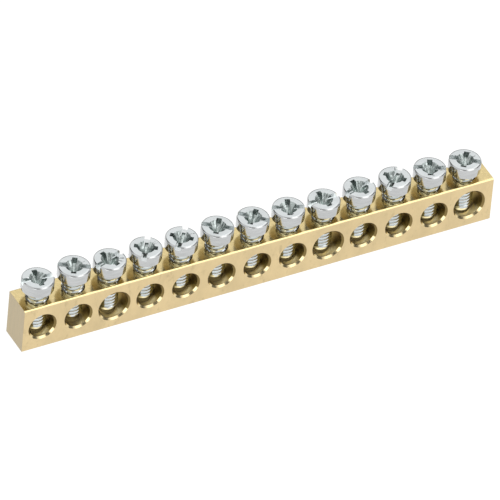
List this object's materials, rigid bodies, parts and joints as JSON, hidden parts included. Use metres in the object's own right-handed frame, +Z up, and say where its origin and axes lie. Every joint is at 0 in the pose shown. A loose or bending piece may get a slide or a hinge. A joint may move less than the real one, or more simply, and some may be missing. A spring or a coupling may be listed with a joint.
{
  "type": "earth terminal bar",
  "caption": "Brass earth terminal bar: a drawn rectangular bar with through wire holes, each with a plated clamp screw driven down from the top.",
  "frame": {"origin": "centre of the bar's base face, which is also the bottom centre of the whole part's box", "axes": "+X along the bar towards its right end, -Y out of the wire mouths at the front, +Z up along the clamp screws"},
  "size_m": [0.0922, 0.006, 0.0139],
  "materials": {
    "brass": "satin drawn brass, sawn ends, bright drilled holes",
    "zinc_plate": "bright zinc plate"
  },
  "bodies": {
    "bar": {"terminal_bar": "brass"},
    "clamp_screw_01": {"clamp_screw_01": "zinc_plate"},
    "clamp_screw_02": {"clamp_screw_02": "zinc_plate"},
    "clamp_screw_03": {"clamp_screw_03": "zinc_plate"},
    "clamp_screw_04": {"clamp_screw_04": "zinc_plate"},
    "clamp_screw_05": {"clamp_screw_05": "zinc_plate"},
    "clamp_screw_06": {"clamp_screw_06": "zinc_plate"},
    "clamp_screw_07": {"clamp_screw_07": "zinc_plate"},
    "clamp_screw_08": {"clamp_screw_08": "zinc_plate"},
    "clamp_screw_09": {"clamp_screw_09": "zinc_plate"},
    "clamp_screw_10": {"clamp_screw_10": "zinc_plate"},
    "clamp_screw_11": {"clamp_screw_11": "zinc_plate"},
    "clamp_screw_12": {"clamp_screw_12": "zinc_plate"},
    "clamp_screw_13": {"clamp_screw_13": "zinc_plate"}
  },
  "joints": [
    {"name": "clamp_01", "type": "slide", "parent": "bar", "child": "clamp_screw_01", "axis": [0, 0, 1], "range_m": [-0.0004, 0.0043]},
    {"name": "clamp_02", "type": "slide", "parent": "bar", "child": "clamp_screw_02", "axis": [0, 0, 1], "range_m": [-0.00085, 0.00385]},
    {"name": "clamp_03", "type": "slide", "parent": "bar", "child": "clamp_screw_03", "axis": [0, 0, 1], "range_m": [-0.0007, 0.005]},
    {"name": "clamp_04", "type": "slide", "parent": "bar", "child": "clamp_screw_04", "axis": [0, 0, 1], "range_m": [-0.00045, 0.00425]},
    {"name": "clamp_05", "type": "slide", "parent": "bar", "child": "clamp_screw_05", "axis": [0, 0, 1], "range_m": [-0.00045, 0.00425]},
    {"name": "clamp_06", "type": "slide", "parent": "bar", "child": "clamp_screw_06", "axis": [0, 0, 1], "range_m": [-0.0006, 0.0041]},
    {"name": "clamp_07", "type": "slide", "parent": "bar", "child": "clamp_screw_07", "axis": [0, 0, 1], "range_m": [-0.0004, 0.0043]},
    {"name": "clamp_08", "type": "slide", "parent": "bar", "child": "clamp_screw_08", "axis": [0, 0, 1], "range_m": [-0.0003, 0.0044]},
    {"name": "clamp_09", "type": "slide", "parent": "bar", "child": "clamp_screw_09", "axis": [0, 0, 1], "range_m": [-0.0005, 0.0052]},
    {"name": "clamp_10", "type": "slide", "parent": "bar", "child": "clamp_screw_10", "axis": [0, 0, 1], "range_m": [-0.00035, 0.00435]},
    {"name": "clamp_11", "type": "slide", "parent": "bar", "child": "clamp_screw_11", "axis": [0, 0, 1], "range_m": [-0.00035, 0.00435]},
    {"name": "clamp_12", "type": "slide", "parent": "bar", "child": "clamp_screw_12", "axis": [0, 0, 1], "range_m": [-0.0002, 0.0045]},
    {"name": "clamp_13", "type": "slide", "parent": "bar", "child": "clamp_screw_13", "axis": [0, 0, 1], "range_m": [-0.00035, 0.00535]}
  ]
}
